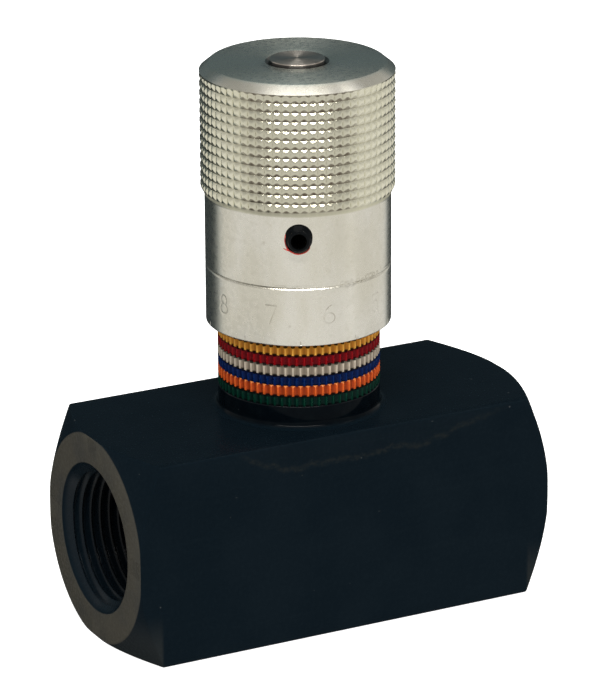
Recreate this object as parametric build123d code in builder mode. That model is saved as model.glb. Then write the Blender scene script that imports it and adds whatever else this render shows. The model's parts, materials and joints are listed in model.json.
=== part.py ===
"""In-line needle-type flow control valve, drawn in the fully open position.

The valve is a square steel bar with a threaded pipe port in each end.  A screwed bonnet stands
on its top flat and carries six coloured rings, one for each turn of the knob.  The knob and the
needle stem climb together on the stem's thread, and the knob's skirt slides down over the rings
as the needle closes on its seat.

Millimetres, +Z up, X along the ports.  The origin is the centre of the body's bottom flat, on
the needle axis.
"""
from build123d import *
from math import cos, radians, sin, tan
import os

# ---- body ------------------------------------------------------------------------------
bar_size = 38.1                    # square bar, 1 1/2 in across flats
bar_edge_radius = 0.4
body_length = 83.5
end_face_radius = 19.25            # flat annulus left by the 30 degree turned ends
end_chamfer_angle = 30.0
turned_radius = 28.5               # reaches past the bar's corners
port_axis_height = bar_size / 2

# ---- ports, for 3/4 in taper pipe thread ---------------------------------------------------
port_mouth_radius = 13.88
port_radius = 12.5                 # pitch radius of the thread, cut here as a plain bore
port_depth = 20.0                  # end face to the start of the drill point
drill_point_angle = 118.0

# ---- passages, seat and bonnet bore --------------------------------------------------------
seat_height = 19.0                 # floor of the upper chamber
seat_radius = 6.0
seat_bevel = 0.4
seat_bore_floor = 5.8
passage_radius = 4.8
low_passage_start_height = 15.0
low_passage_end_height = 11.0
high_passage_height = 24.0
chamber_radius = 9.5
bonnet_thread_radius = 11.1
bonnet_thread_floor = 29.2
gland_radius = 13.0                # counterbore for the bonnet's O-ring
gland_depth = 1.9
gland_slack = 0.07                 # kept clear above and below the O-ring

# ---- travel --------------------------------------------------------------------------------
turns = 6                          # full travel of the knob, one coloured ring per turn
thread_pitch = 1.92                # lift per turn
lift = turns * thread_pitch

# ---- bonnet and its coloured rings ---------------------------------------------------------
neck_radius = 14.76
collar_height = 4.2
foot_radius = 16.0
foot_lip = 0.05
foot_fillet = foot_radius - neck_radius
spigot_radius = 13.25              # seat of the rings
bonnet_top = 58.0
bonnet_top_chamfer = 0.5
band_colours = ("green", "orange", "blue", "white", "red", "yellow")     # bottom to top
band_height = thread_pitch
band_bore_radius = spigot_radius + 0.05
band_bevel = 0.22
flute_count = 68
flute_radius = 0.55
flute_depth = 0.45
clip_thickness = 1.0
clip_outer_radius = 14.4
clip_groove_radius = 12.6
clip_groove_slack = 0.05
clip_gap = 6.0

# ---- needle stem ---------------------------------------------------------------------------
fit_gap = 0.05                     # radial gap of running and screwed fits
land_radius = 7.5                  # sealed part of the stem
stem_thread_radius = 6.5
shank_radius = 5.0                 # clamped by the knob
needle_tip_radius = 1.0
slim_taper_radius = 3.2            # slim taper meters the first turns
slim_taper_length = 4.5
wide_taper_start_radius = 4.2
wide_taper_radius = 5.7            # wide taper meters the rest
wide_taper_length = 3.75
taper_step_length = 0.4
land_top_closed = 36.0
groove_floor_closed = 30.0
groove_length = 4.6
groove_radius = 5.9
undercut_radius = 5.8
undercut_length = 1.0
seat_gap = 0.05                    # axial gap left between needle and seat when closed
button_bevel = 0.22
button_height = 0.5                # stem end above the knob's top face

# ---- stem seals ----------------------------------------------------------------------------
seal_inner_radius = groove_radius + 0.03
seal_outer_radius = land_radius + 0.03
backup_thickness = 1.1
backup_end_gap = 0.05

# ---- knob ----------------------------------------------------------------------------------
knob_bottom = 54.44
knob_step_height = 78.45           # skirt below, knurled head above
knob_top = 102.5
skirt_radius = 16.8
skirt_bore_radius = 15.1
skirt_bore_top = 70.5
skirt_rim_chamfer = 0.4
head_radius = 17.54
head_top_chamfer_width = 1.76
head_top_chamfer_height = 1.5
shank_hole_radius = shank_radius + 0.03
shank_hole_countersink = 0.7
scribed_line_height = 65.19
scribed_line_width = 0.5
scribed_line_depth = 0.15

# ---- set screw, a No. 10-24 by 1/2 in socket set screw ------------------------------------------
screw_bearing = radians(242.75)    # direction round Z in the open position
screw_height = 74.8
screw_radius = 2.413
screw_length = 12.7
screw_chamfer = 0.45
screw_stand_out = 2.5              # screw end beyond the skirt
socket_across_flats = 2.4
socket_depth = 4.0
screw_hole_radius = screw_radius + fit_gap
pad_radius = 2.35
pad_gap = 0.05
pellet_radius = 0.8
pellet_depth = 1.1
pellet_station = 13.0              # distance from the needle axis
pellet_roll = 215.0                # direction round the screw's axis

# ---- worked-out levels ---------------------------------------------------------------------
body_top = bar_size
collar_top = body_top + collar_height
bands_top = collar_top + len(band_colours) * band_height
land_top = land_top_closed + lift
groove_floor = groove_floor_closed + lift
seat_cone_start = seat_height - seat_bevel - (seat_radius - wide_taper_radius) + seat_gap + lift
wide_taper_start = seat_cone_start - wide_taper_length
slim_taper_end = wide_taper_start - taper_step_length
needle_tip = slim_taper_end - slim_taper_length
button_top = knob_top + button_height
port_axis = Axis((0, 0, port_axis_height), (1, 0, 0))
screw_direction = (cos(screw_bearing), sin(screw_bearing), 0)
screw_plane = Plane(
    origin=(0, 0, screw_height),
    x_dir=(-sin(screw_bearing), cos(screw_bearing), 0),
    z_dir=screw_direction,
)

os.makedirs("parts", exist_ok=True)

# ---- valve body ----------------------------------------------------------------------------
turned_end_depth = (turned_radius - end_face_radius) * tan(radians(end_chamfer_angle))
drill_point_depth = port_radius / tan(radians(drill_point_angle / 2))
half_length = body_length / 2
mouth_bevel = port_mouth_radius - port_radius

with BuildPart() as valve_body:
    with BuildSketch(Plane.YZ.offset(-half_length)):
        with Locations((0, port_axis_height)):
            RectangleRounded(bar_size, bar_size, bar_edge_radius)
    extrude(amount=body_length)
    # both ends are turned, which leaves a round face and a cone across the bar's corners
    with BuildSketch(Plane.XZ):
        with BuildLine():
            Polyline(
                (-half_length, port_axis_height),
                (-half_length, port_axis_height + end_face_radius),
                (-half_length + turned_end_depth, port_axis_height + turned_radius),
                (half_length - turned_end_depth, port_axis_height + turned_radius),
                (half_length, port_axis_height + end_face_radius),
                (half_length, port_axis_height),
                close=True,
            )
        make_face()
    revolve(axis=port_axis, mode=Mode.INTERSECT)
    # a port in each end: bevelled mouth, threaded length and drill point
    for side in (-1, 1):
        with BuildSketch(Plane.XZ):
            with BuildLine():
                Polyline(
                    (side * half_length, port_axis_height),
                    (side * half_length, port_axis_height + port_mouth_radius),
                    (side * (half_length - mouth_bevel), port_axis_height + port_radius),
                    (side * (half_length - port_depth), port_axis_height + port_radius),
                    (side * (half_length - port_depth - drill_point_depth), port_axis_height),
                    close=True,
                )
            make_face()
        revolve(axis=port_axis, mode=Mode.SUBTRACT)
    # bore for bonnet, chamber, seat and lower pocket, all machined from the top
    with BuildSketch(Plane.XZ):
        with BuildLine():
            Polyline(
                (0, seat_bore_floor),
                (seat_radius, seat_bore_floor),
                (seat_radius, seat_height - seat_bevel),
                (seat_radius + seat_bevel, seat_height),
                (chamber_radius, seat_height),
                (chamber_radius, bonnet_thread_floor),
                (bonnet_thread_radius + fit_gap, bonnet_thread_floor),
                (bonnet_thread_radius + fit_gap, body_top - gland_depth),
                (gland_radius, body_top - gland_depth),
                (gland_radius, body_top),
                (0, body_top),
                close=True,
            )
        make_face()
    revolve(axis=Axis.Z, mode=Mode.SUBTRACT)
    # low passage from the left port to the pocket under the seat
    low_start = Vector(-(half_length - port_depth), 0, low_passage_start_height)
    low_run = Vector(0, 0, low_passage_end_height) - low_start
    with BuildSketch(Plane(origin=low_start, z_dir=low_run)):
        Circle(passage_radius)
    extrude(amount=low_run.length, mode=Mode.SUBTRACT)
    # high passage from the chamber over the seat to the right port
    with BuildSketch(Plane.YZ):
        with Locations((0, high_passage_height)):
            Circle(passage_radius)
    extrude(amount=half_length - port_depth, mode=Mode.SUBTRACT)

valve_body.part.label = "valve_body"
export_step(valve_body.part, "parts/valve_body.step")

# ---- bonnet --------------------------------------------------------------------------------
stop_height = land_top + seat_gap
clip_groove_floor = bands_top + clip_groove_slack
clip_groove_top = clip_groove_floor + clip_thickness + clip_groove_slack

with BuildPart() as bonnet:
    with BuildSketch(Plane.XZ):
        with BuildLine():
            Polyline(
                (neck_radius, body_top + foot_lip + foot_fillet),
                (neck_radius, collar_top),
                (spigot_radius, collar_top),
                (spigot_radius, clip_groove_floor),
                (clip_groove_radius, clip_groove_floor),
                (clip_groove_radius, clip_groove_top),
                (spigot_radius, clip_groove_top),
                (spigot_radius, bonnet_top - bonnet_top_chamfer),
                (spigot_radius - bonnet_top_chamfer, bonnet_top),
                (stem_thread_radius + fit_gap, bonnet_top),
                (stem_thread_radius + fit_gap, stop_height),
                (land_radius + fit_gap, stop_height),
                (land_radius + fit_gap, bonnet_thread_floor),
                (bonnet_thread_radius - bonnet_top_chamfer, bonnet_thread_floor),
                (bonnet_thread_radius, bonnet_thread_floor + bonnet_top_chamfer),
                (bonnet_thread_radius, body_top),
                (foot_radius, body_top),
                (foot_radius, body_top + foot_lip),
            )
            RadiusArc(
                (foot_radius, body_top + foot_lip),
                (neck_radius, body_top + foot_lip + foot_fillet),
                foot_fillet,
            )
        make_face()
    revolve(axis=Axis.Z)

bonnet.part.label = "bonnet"
export_step(bonnet.part, "parts/bonnet.step")

# ---- bonnet O-ring -------------------------------------------------------------------------
bonnet_seal_radius = gland_depth / 2 - gland_slack

with BuildPart() as bonnet_o_ring:
    with BuildSketch(Plane.XZ):
        with Locations(((bonnet_thread_radius + gland_radius) / 2, body_top - gland_depth / 2)):
            Circle(bonnet_seal_radius)
    revolve(axis=Axis.Z)

bonnet_o_ring.part.label = "bonnet_o_ring"
export_step(bonnet_o_ring.part, "parts/bonnet_o_ring.step")

# ---- six coloured rings, each fluted round its rim -----------------------------------------
for index, colour in enumerate(band_colours):
    band_floor = collar_top + index * band_height
    half_flute_turn = 180.0 / flute_count * (index % 2)
    with BuildPart() as band:
        with BuildSketch(Plane.XZ):
            with BuildLine():
                Polyline(
                    (band_bore_radius, band_floor),
                    (neck_radius - band_bevel, band_floor),
                    (neck_radius, band_floor + band_bevel),
                    (neck_radius, band_floor + band_height - band_bevel),
                    (neck_radius - band_bevel, band_floor + band_height),
                    (band_bore_radius, band_floor + band_height),
                    close=True,
                )
            make_face()
        revolve(axis=Axis.Z)
        with BuildSketch(Plane.XY.offset(band_floor)):
            with PolarLocations(
                neck_radius + flute_radius - flute_depth, flute_count, start_angle=half_flute_turn
            ):
                Circle(flute_radius)
        extrude(amount=band_height, mode=Mode.SUBTRACT)
    band.part.label = f"band_{colour}"
    export_step(band.part, f"parts/band_{colour}.step")

# ---- clip that holds the rings down --------------------------------------------------------
with BuildPart() as band_retaining_ring:
    with BuildSketch(Plane.XY.offset(clip_groove_floor + clip_groove_slack / 2)):
        Circle(clip_outer_radius)
        Circle(clip_groove_radius + fit_gap, mode=Mode.SUBTRACT)
        with Locations((0, clip_outer_radius)):
            Rectangle(clip_gap, clip_outer_radius, mode=Mode.SUBTRACT)
    extrude(amount=clip_thickness)

band_retaining_ring.part.label = "band_retaining_ring"
export_step(band_retaining_ring.part, "parts/band_retaining_ring.step")

# ---- needle stem ---------------------------------------------------------------------------
with BuildPart() as needle_stem:
    with BuildSketch(Plane.XZ):
        with BuildLine():
            Polyline(
                # the two metering tapers
                (0, needle_tip),
                (needle_tip_radius, needle_tip),
                (slim_taper_radius, slim_taper_end),
                (wide_taper_start_radius, wide_taper_start),
                # seating cone and sealed land
                (wide_taper_radius, seat_cone_start),
                (land_radius, seat_cone_start + land_radius - wide_taper_radius),
                (land_radius, groove_floor),
                (groove_radius, groove_floor),
                (groove_radius, groove_floor + groove_length),
                (land_radius, groove_floor + groove_length),
                (land_radius, land_top),
                # thread, shoulder under the knob, and shank
                (undercut_radius, land_top),
                (undercut_radius, land_top + undercut_length),
                (stem_thread_radius, land_top + 2 * undercut_length),
                (stem_thread_radius, skirt_bore_top),
                (shank_radius, skirt_bore_top),
                (shank_radius, button_top - button_bevel),
                (shank_radius - button_bevel, button_top),
                (0, button_top),
                close=True,
            )
        make_face()
    revolve(axis=Axis.Z)

needle_stem.part.label = "needle_stem"
export_step(needle_stem.part, "parts/needle_stem.step")

# ---- stem seals: an O-ring between two backup rings ----------------------------------------
stem_seal_radius = (seal_outer_radius - seal_inner_radius) / 2

with BuildPart() as stem_o_ring:
    with BuildSketch(Plane.XZ):
        with Locations(((seal_inner_radius + seal_outer_radius) / 2, groove_floor + groove_length / 2)):
            Circle(stem_seal_radius)
    revolve(axis=Axis.Z)

stem_o_ring.part.label = "stem_o_ring"
export_step(stem_o_ring.part, "parts/stem_o_ring.step")

backup_floors = {
    "lower": groove_floor + backup_end_gap,
    "upper": groove_floor + groove_length - backup_end_gap - backup_thickness,
}
for place, backup_floor in backup_floors.items():
    with BuildPart() as backup_ring:
        with BuildSketch(Plane.XY.offset(backup_floor)):
            Circle(seal_outer_radius)
            Circle(seal_inner_radius, mode=Mode.SUBTRACT)
        extrude(amount=backup_thickness)
    backup_ring.part.label = f"stem_backup_ring_{place}"
    export_step(backup_ring.part, f"parts/stem_backup_ring_{place}.step")

# ---- knob ----------------------------------------------------------------------------------
head_step = head_radius - skirt_radius

with BuildPart() as knob:
    with BuildSketch(Plane.XZ):
        with BuildLine():
            Polyline(
                (skirt_bore_radius, knob_bottom),
                (skirt_radius - skirt_rim_chamfer, knob_bottom),
                (skirt_radius, knob_bottom + skirt_rim_chamfer),
                (skirt_radius, scribed_line_height - scribed_line_width / 2),
                (skirt_radius - scribed_line_depth, scribed_line_height),
                (skirt_radius, scribed_line_height + scribed_line_width / 2),
                (skirt_radius, knob_step_height),
                (head_radius, knob_step_height + head_step),
                (head_radius, knob_top - head_top_chamfer_height),
                (head_radius - head_top_chamfer_width, knob_top),
                (shank_hole_radius + shank_hole_countersink, knob_top),
                (shank_hole_radius, knob_top - shank_hole_countersink),
                (shank_hole_radius, skirt_bore_top),
                (skirt_bore_radius, skirt_bore_top),
                close=True,
            )
        make_face()
    revolve(axis=Axis.Z)
    with BuildSketch(screw_plane):
        Circle(screw_hole_radius)
    extrude(amount=head_radius + screw_stand_out, mode=Mode.SUBTRACT)

knob.part.label = "knob"
export_step(knob.part, "parts/knob.step")

# ---- set screw, with a pocket in its side for the nylon pellet -----------------------------
screw_outer_end = skirt_radius + screw_stand_out
screw_inner_end = screw_outer_end - screw_length
pellet_centre = Vector(screw_direction) * pellet_station + Vector(0, 0, screw_height)
pellet_direction = (
    Vector(-sin(screw_bearing), cos(screw_bearing), 0) * cos(radians(pellet_roll))
    + Vector(0, 0, 1) * sin(radians(pellet_roll))
)
pellet_plane = Plane(origin=pellet_centre, x_dir=screw_direction, z_dir=pellet_direction)

with BuildPart() as set_screw:
    with BuildSketch(screw_plane.offset(screw_inner_end)):
        Circle(screw_radius)
    extrude(amount=screw_length)
    chamfer(set_screw.edges().filter_by(GeomType.CIRCLE), screw_chamfer)
    with BuildSketch(screw_plane.offset(screw_outer_end)):
        RegularPolygon(socket_across_flats / 2, 6, major_radius=False)
    extrude(amount=-socket_depth, mode=Mode.SUBTRACT)
    with BuildSketch(pellet_plane.offset(screw_radius - pellet_depth)):
        Circle(pellet_radius)
    extrude(amount=2 * pellet_depth, mode=Mode.SUBTRACT)

set_screw.part.label = "set_screw"
export_step(set_screw.part, "parts/set_screw.step")

# ---- nylon pellet, flush with the screw's crests -------------------------------------------
with BuildPart() as nylon_pellet:
    with BuildSketch(pellet_plane.offset(screw_radius - pellet_depth)):
        Circle(pellet_radius)
    extrude(amount=2 * pellet_depth)
    with BuildSketch(screw_plane.offset(screw_inner_end)):
        Circle(screw_radius)
    extrude(amount=screw_length, mode=Mode.INTERSECT)

nylon_pellet.part.label = "nylon_pellet"
export_step(nylon_pellet.part, "parts/nylon_pellet.step")

# ---- pad between the screw and the stem's shank --------------------------------------------
pad_inner_end = shank_radius + pad_gap
pad_thickness = screw_inner_end - pad_gap - pad_inner_end

with BuildPart() as screw_pad:
    with BuildSketch(screw_plane.offset(pad_inner_end)):
        Circle(pad_radius)
    extrude(amount=pad_thickness)

screw_pad.part.label = "screw_pad"
export_step(screw_pad.part, "parts/screw_pad.step")
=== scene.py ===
"""The looks of the in-line flow control valve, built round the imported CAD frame.

The outside pieces are rebuilt here as detailed meshes: threads, knurling, engraved dial figures,
fluted rings and softened edges.  Each is a skin of rings round its own axis.  The pieces hidden
inside keep their CAD meshes.  Every piece has a procedural material.

Lengths are millimetres in this script, and become metres where a mesh is made.
"""

import json
from math import atan2, cos, degrees, pi, radians, sin, sqrt, tan

import bmesh
import bpy
import numpy as np
from mathutils import Matrix, Vector


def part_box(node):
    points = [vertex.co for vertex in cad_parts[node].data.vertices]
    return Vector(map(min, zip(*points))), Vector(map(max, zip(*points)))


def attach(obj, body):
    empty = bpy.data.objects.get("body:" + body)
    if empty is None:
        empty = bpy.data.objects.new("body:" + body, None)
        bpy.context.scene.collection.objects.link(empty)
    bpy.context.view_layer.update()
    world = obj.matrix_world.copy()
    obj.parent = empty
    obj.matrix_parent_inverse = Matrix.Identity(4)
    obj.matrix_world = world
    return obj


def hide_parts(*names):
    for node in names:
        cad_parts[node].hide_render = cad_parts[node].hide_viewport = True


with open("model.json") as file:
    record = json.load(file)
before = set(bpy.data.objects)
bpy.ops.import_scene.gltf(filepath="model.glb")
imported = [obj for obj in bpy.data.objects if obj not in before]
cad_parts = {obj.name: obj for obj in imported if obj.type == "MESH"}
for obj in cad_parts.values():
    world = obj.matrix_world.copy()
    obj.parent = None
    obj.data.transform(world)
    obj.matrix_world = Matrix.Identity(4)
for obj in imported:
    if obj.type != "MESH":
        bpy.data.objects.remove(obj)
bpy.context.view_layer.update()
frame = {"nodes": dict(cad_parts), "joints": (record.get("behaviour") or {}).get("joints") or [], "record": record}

MM = 0.001


def box_mm(node):
    """Lowest and highest corner of a CAD node, in millimetres."""
    low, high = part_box(node)
    return low / MM, high / MM


def mount(name):
    return next(m for m in frame["record"]["mounts"] if m["name"] == name)


# ---- sizes read from the frame -------------------------------------------------------------
body_high = box_mm("valve_body")[1]
half_length = body_high.x
half_bar = body_high.y
body_top = body_high.z
port_height = mount("port_left")["pos_m"][2] / MM
port_radius = mount("port_left")["dims"]["r_mm"]

bonnet_high = box_mm("bonnet")[1]
foot_radius = bonnet_high.x
bonnet_top = bonnet_high.z

knob_low, knob_high = box_mm("knob")
head_radius = knob_high.x
knob_bottom = knob_low.z
knob_top = knob_high.z

stem_low, stem_high = box_mm("needle_stem")
button_top = stem_high.z
needle_tip = stem_low.z

screw_joint = next(j for j in frame["joints"] if j["name"] == "lock_screw_turn")
screw_out = -Vector(screw_joint["axis"])
screw_low, screw_high = box_mm("set_screw")
screw_height = (screw_low.z + screw_high.z) / 2
screw_radius = (screw_high.z - screw_low.z) / 2
screw_bearing = atan2(screw_out.y, screw_out.x)

band_colours = ("green", "orange", "blue", "white", "red", "yellow")     # bottom to top
band_low, band_high = box_mm("band_green")
collar_top = band_low.z
band_height = band_high.z - band_low.z
neck_radius = band_high.x

# ---- body ----------------------------------------------------------------------------------
bar_edge_radius = 0.4
end_face_radius = 19.25
end_cone_angle = radians(30)
body_edge_softness = 0.08
bar_edge_softness = 0.3            # where the turned cones meet the bar's flats
cone_edge_offsets = (-20, -0.5, -0.2, -0.08, 0.05, 0.2, 0.5)   # depths of rings round that edge
tide_reach = (-24.0, -13.0, 12.0, 38.0)    # the tide mark leaves the top edge and climbs back
tide_depth = 4.7
port_mouth_radius = 13.88
port_depth = 20.0
drill_point_half_angle = radians(59)
pipe_thread_pitch = 25.4 / 14
pipe_thread_height = 1.3
pipe_thread_taper = 1 / 32         # loss of radius per length
pipe_thread_start = 0.42           # share of a turn
passage_radius = 4.8
low_passage = (15.0, 11.0)         # its heights at the port and at the needle axis
high_passage_height = 24.0
bore_outline = (                   # radius, height
    (0.0, 5.8), (6.0, 5.8), (6.0, 18.6), (6.4, 19.0), (9.5, 19.0), (9.5, 29.2),
    (11.15, 29.2), (11.15, 36.2), (13.0, 36.2), (13.0, 40.0), (0.0, 40.0),
)

# ---- bonnet and bands ----------------------------------------------------------------------
foot_lip = 0.02
spigot_radius = 13.25
stop_height = 47.57
gallery_height = 29.2
clip_groove = (12.6, 53.87, 54.97)     # radius, floor and top
bonnet_chamfer = 0.5
bonnet_corner_softness = 0.18
bonnet_thread_radius = 11.1
land_radius = 7.5
stem_thread_radius = 6.5
fit_gap = 0.05
flute_count = 68
flute_radius = 0.58
flute_depth = 0.45
band_bevels = (0.08, 0.32)         # below and above
# near black painted shade at the bands' edges and between them
band_shade = (0.003, 0.003, 0.003)

# ---- stem ----------------------------------------------------------------------------------
land_top = stop_height - 0.05      # top of the sealed part of the stem
groove_floor = land_top - 6.0
edge_break = 0.1                   # small chamfers on the stem's corners
undercut = (5.8, 1.0)              # radius and length, under the thread
needle_tapers = (                  # height over the tip, radius
    (0.0, 0.0), (0.0, 0.9), (0.1, 1.0), (4.5, 3.2), (4.9, 4.2), (12.65, 5.7), (14.35, 7.4),
    (14.55, land_radius),
)
shank_radius = 5.0
button_bevel = 0.22
groove_radius = 5.9
groove_length = 4.6
stem_thread_pitch = 1.92
stem_thread_height = 0.9
stem_thread_run_in = 0.6           # length over which its ridges reach full height

# ---- knob ----------------------------------------------------------------------------------
skirt_radius = 16.8
skirt_bore_radius = 15.1
skirt_bore_top = 70.5
skirt_rim_softness = 0.25
skirt_bore_chamfer = 0.3
step_height = 78.45
head_top_bevel = (1.76, 1.5)       # radial width and height
head_edge_softness = 0.12
shank_hole_radius = 5.03
shank_hole_countersink = 0.7
countersink_radius = shank_hole_radius + shank_hole_countersink
knurl_rows = 13
knurl_row_depth = 0.36
knurl_column_depth = 0.31
knurl_column_side = 0.42           # share of the pitch taken by each side of a column's groove
knurl_row_sides = (0.50, 0.40)     # the same for a row: side that faces down, side that faces up
knurl_curve = 1.3                  # sides flatten a little toward the crest
scribed_line_height = 65.19
scribed_line_depth = 0.20
scribed_line_half_width = 0.28
second_line = (0.55, 0.16, 0.6)    # height over the first, half width, share of its depth
scribed_zone = (-0.7, 1.5)         # heights from the line between which the skirt is marked
line_seed = 3
second_line_seed = 5
scuff_seed = 11
scuff_count = 9
scuff_first_bearing = radians(28)  # from the screw
scuff_step = radians(3.6)
scuff_depths = (0.09, 0.02)        # rim below the skirt, middle above it
dial_height = 60.2                 # middle of the dial's figures
dial_first_bearing = radians(225.5)
dial_first_figure = 7
dial_step = radians(36)            # from figure to figure; a tick stands halfway
figure_height = 3.4
figure_width = 2.1
stroke_half_width = 0.2
stroke_depth = 0.06
tick_top = 55.6

# ---- set screw and its nylon pellet --------------------------------------------------------
screw_inner_end = 6.6
screw_outer_end = 19.3
screw_thread_pitch = 25.4 / 24
screw_thread_height = 0.5
screw_thread_run_in = 0.55         # length over which its ridges reach full height
screw_end_bevel = 0.15
screw_cup_radius = 1.1
screw_cup_depth = 0.5
socket_across_flats = 2.4
socket_depth = 4.0
patch_arc = (radians(165), radians(325))
patch_reach = (16.3, 18.9)         # distances from the needle axis
patch_thickness = 0.2
patch_ripples = ((0.16, 23), (0.08, 61))    # share of the thickness, turns of phase along the arc
curl_bearing = radians(226)        # where the curl leaves the patch
curl_turn = 0.35                   # how far round the screw it runs
curl_reach = 0.55                  # how far out it reaches
curl_half_width = 0.26

# ---- view ----------------------------------------------------------------------------------
view_azimuth = radians(-27.543)
view_elevation = radians(19.234)
view_roll = radians(-0.338)
view_distance = 819.71
view_aim = (0.0, 0.0, port_height)
view_shift = (-0.6685, 27.5725)    # camera off the line of aim, rightward and upward
focal_length = 230.2
sensor_size = 36.0


# ---- studio --------------------------------------------------------------------------------
# Angles are degrees, azimuth from the camera and elevation from the horizon.  Each set of four
# says where the light starts, where it is full, where it is still full and where it ends.
front_azimuths = (-126.0, -113.0, 138.0, 147.0)
window_azimuths = (66.0, 72.0, 78.0, 84.0)
side_box_azimuths = (60.0, 66.0, 76.0, 84.0)
side_box_elevations = (36.0, 42.0, 60.0, 66.0)
softbox_width = (-0.47, -0.37, 0.40, 0.50)     # shares of the way to the side
softbox_rises = (38.0, 44.0, 80.0, 90.0)
tube_rises = (46.0, 47.0, 49.0, 50.0)
window_strength = 0.13
side_box_strength = 1.6
softbox_strength = 1.4
tube_strength = 38.0
overhead_strength = 0.35
backdrop_strength = 1.05
front_tint = (1.0, 0.985, 0.95)
back_tint = (0.78, 1.0, 1.06)


# ==== meshes ================================================================================
class Turning:
    """A skin built ring by ring along an axis, the way a lathe would leave it.

    Each ring joins the one before it.  A ring may have more columns than its neighbour, where
    the coarser ring's angles are among the finer one's.
    """

    def __init__(self, angles, origin=(0, 0, 0), axis=(0, 0, 1), start=(1, 0, 0)):
        self.angles = angles
        self.origin = np.array(origin, float)
        self.axis = np.array(axis, float)
        self.start = np.array(start, float)
        self.side = np.cross(self.axis, self.start)
        self.points = []
        self.faces = []
        self.count = 0
        self.first = None
        self.last = None

    def put(self, along, radius, angles):
        """Adds points and returns their indexes."""
        along = np.broadcast_to(np.asarray(along, float), angles.shape)
        radius = np.broadcast_to(np.asarray(radius, float), angles.shape)
        outward = np.cos(angles)[..., None] * self.start + np.sin(angles)[..., None] * self.side
        points = self.origin + along[..., None] * self.axis + radius[..., None] * outward
        indexes = np.arange(self.count, self.count + angles.size).reshape(angles.shape)
        self.points.append(points.reshape(-1, 3))
        self.count += angles.size
        return indexes

    def join(self, one, other):
        """Faces between two rings, each given as its indexes and its angles."""
        coarse, fine = sorted((one, other), key=lambda ring: len(ring[0]))
        if len(coarse[0]) == len(fine[0]):
            quads = (coarse[0], np.roll(coarse[0], -1), np.roll(fine[0], -1), fine[0])
            self.faces += np.stack(quads, axis=1).tolist()
            return
        marks = np.append(np.searchsorted(fine[1], coarse[1] - 1e-9), len(fine[0]))
        fine_loop = np.append(fine[0], fine[0][0])
        coarse_loop = np.append(coarse[0], coarse[0][0])
        for step in range(len(coarse[0])):
            over = fine_loop[marks[step]:marks[step + 1] + 1]
            self.faces.append([coarse_loop[step], coarse_loop[step + 1], *over[::-1]])

    def ring(self, along, radius, angles=None):
        angles = self.angles if angles is None else angles
        ring = (self.put(along, radius, angles), angles)
        if self.last is None:
            self.first = ring
        else:
            self.join(self.last, ring)
        self.last = ring

    def rings(self, stations):
        for along, radius in stations:
            self.ring(along, radius)

    def close(self):
        """Joins the last ring to the first."""
        self.join(self.last, self.first)

    def thread(self, start, end, pitch, radius_at, rows_per_pitch=12):
        """A right-hand thread whose rows run along the helix, trimmed square at both ends.

        radius_at(along, phase) gives the surface; phase runs from 0 to 1 over one pitch.
        """
        way = 1 if end > start else -1
        step = pitch / rows_per_pitch
        rows = np.arange(-rows_per_pitch, int(abs(end - start) / step) + rows_per_pitch + 2)
        turn = self.angles / (2 * pi)
        along = start + way * rows[:, None] * step + pitch * turn[None, :]
        along = np.clip(along, min(start, end), max(start, end))
        phase = (along / pitch - turn[None, :]) % 1.0
        angles = np.broadcast_to(self.angles, along.shape)
        grid = self.put(along, radius_at(along, phase), angles)
        seam = np.clip(np.arange(len(rows)) + way * rows_per_pitch, 0, len(rows) - 1)
        following = np.column_stack([grid[:, 1:], grid[seam, 0]])
        quads = (grid[:-1], following[:-1], following[1:], grid[1:])
        self.faces += np.stack(quads, axis=-1).reshape(-1, 4).tolist()
        if self.last is None:
            self.first = (grid[0], self.angles)
        else:
            self.join(self.last, (grid[0], self.angles))
        self.last = (grid[-1], self.angles)


def even_angles(count):
    return np.arange(count) * 2 * pi / count


def softened(corners, reach, steps=3):
    """A closed outline with its corners rounded off over that reach along both sides."""
    outline = []
    corners = np.array(corners, float)
    for index, corner in enumerate(corners):
        before = corners[index - 1] - corner
        after = corners[(index + 1) % len(corners)] - corner
        if corner[0] == 0:
            outline.append(corner)
            continue
        begin = corner + before * min(reach / np.linalg.norm(before), 0.4)
        end = corner + after * min(reach / np.linalg.norm(after), 0.4)
        for t in np.linspace(0, 1, steps + 1):
            outline.append((1 - t) ** 2 * begin + 2 * t * (1 - t) * corner + t**2 * end)
    return outline


def smooth_step(value, low, high):
    t = np.clip((value - low) / (high - low), 0, 1)
    return t * t * (3 - 2 * t)


def mesh_object(name, points, faces, sharp_angle=32):
    """A tidy closed mesh: no doubled points, outward normals, edges sharp where they turn far."""
    mesh = bpy.data.meshes.new(name)
    mesh.from_pydata((np.asarray(points) * MM).tolist(), [], faces)
    work = bmesh.new()
    work.from_mesh(mesh)
    bmesh.ops.remove_doubles(work, verts=work.verts, dist=0.002 * MM)
    bmesh.ops.dissolve_degenerate(work, edges=work.edges, dist=0.001 * MM)
    bmesh.ops.recalc_face_normals(work, faces=work.faces)
    work.to_mesh(mesh)
    work.free()
    mesh.shade_smooth()
    mesh.set_sharp_from_angle(angle=radians(sharp_angle))
    obj = bpy.data.objects.new(name, mesh)
    bpy.context.scene.collection.objects.link(obj)
    return obj


def turned_object(name, turning, sharp_angle=32):
    return mesh_object(name, np.concatenate(turning.points), turning.faces, sharp_angle)


def lathe(name, outline, columns=144, sharp_angle=32):
    """A solid of revolution round Z from a closed outline of radius and height."""
    turning = Turning(even_angles(columns))
    for radius, height in outline:
        turning.ring(height, radius)
    turning.close()
    return turned_object(name, turning, sharp_angle)


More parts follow.
